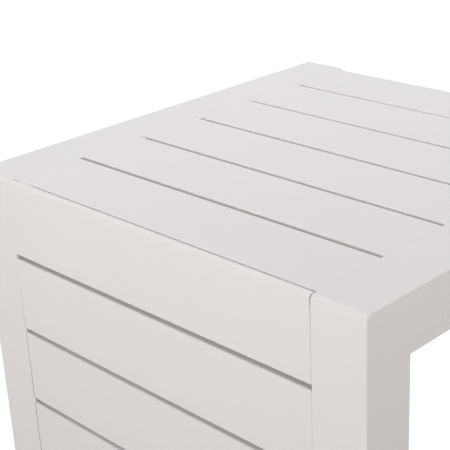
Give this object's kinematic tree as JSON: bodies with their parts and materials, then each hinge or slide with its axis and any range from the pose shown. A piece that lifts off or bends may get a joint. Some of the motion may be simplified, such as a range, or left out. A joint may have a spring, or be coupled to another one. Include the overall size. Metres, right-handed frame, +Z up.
{
  "type": "c-shaped side table",
  "caption": "C-shaped side table with a slatted top and one upright slatted panel on welded square-tube side frames, an open floor frame and levelling feet.",
  "frame": {"origin": "on the floor, below the middle of the table's outline", "axes": "+X along the slats to the right, -Y out of the upright panel's front face, +Y to the open end of the C, +Z up"},
  "size_m": [0.457, 0.464, 0.5402],
  "materials": {
    "white_powder_coat": "satin",
    "white_cap_plastic": "matte",
    "zinc_plated_steel": "satin",
    "grey_foot_plastic": "matte"
  },
  "bodies": {
    "frame": {"left_top_rail": "white_powder_coat", "left_leg": "white_powder_coat", "left_floor_rail": "white_powder_coat", "right_top_rail": "white_powder_coat", "right_leg": "white_powder_coat", "right_floor_rail": "white_powder_coat", "rear_floor_rail": "white_powder_coat", "top_slat_1": "white_powder_coat", "top_slat_2": "white_powder_coat", "top_slat_3": "white_powder_coat", "top_slat_4": "white_powder_coat", "top_slat_5": "white_powder_coat", "top_slat_6": "white_powder_coat", "panel_slat_1": "white_powder_coat", "panel_slat_2": "white_powder_coat", "panel_slat_3": "white_powder_coat", "panel_slat_4": "white_powder_coat", "panel_slat_5": "white_powder_coat", "panel_slat_6": "white_powder_coat", "panel_slat_7": "white_powder_coat", "left_rail_cap": "white_cap_plastic", "right_rail_cap": "white_cap_plastic", "left_top_flush_welds": "white_powder_coat", "left_panel_flush_welds": "white_powder_coat", "left_top_beads": "white_powder_coat", "left_panel_beads": "white_powder_coat", "left_corner_beads": "white_powder_coat", "right_top_flush_welds": "white_powder_coat", "right_panel_flush_welds": "white_powder_coat", "right_top_beads": "white_powder_coat", "right_panel_beads": "white_powder_coat", "right_corner_beads": "white_powder_coat", "front_left_insert": "zinc_plated_steel", "front_right_insert": "zinc_plated_steel", "rear_left_insert": "zinc_plated_steel", "rear_right_insert": "zinc_plated_steel"},
    "front_left_foot": {"front_left_pad": "grey_foot_plastic", "front_left_stud": "zinc_plated_steel"},
    "front_right_foot": {"front_right_pad": "grey_foot_plastic", "front_right_stud": "zinc_plated_steel"},
    "rear_left_foot": {"rear_left_pad": "grey_foot_plastic", "rear_left_stud": "zinc_plated_steel"},
    "rear_right_foot": {"rear_right_pad": "grey_foot_plastic", "rear_right_stud": "zinc_plated_steel"}
  },
  "joints": [
    {"name": "front_left_foot_screw", "type": "slide", "parent": "frame", "child": "front_left_foot", "axis": [0, 0, -1], "range_m": [0, 0.008]},
    {"name": "front_right_foot_screw", "type": "slide", "parent": "frame", "child": "front_right_foot", "axis": [0, 0, -1], "range_m": [0, 0.008]},
    {"name": "rear_left_foot_screw", "type": "slide", "parent": "frame", "child": "rear_left_foot", "axis": [0, 0, -1], "range_m": [0, 0.008]},
    {"name": "rear_right_foot_screw", "type": "slide", "parent": "frame", "child": "rear_right_foot", "axis": [0, 0, -1], "range_m": [0, 0.008]}
  ]
}
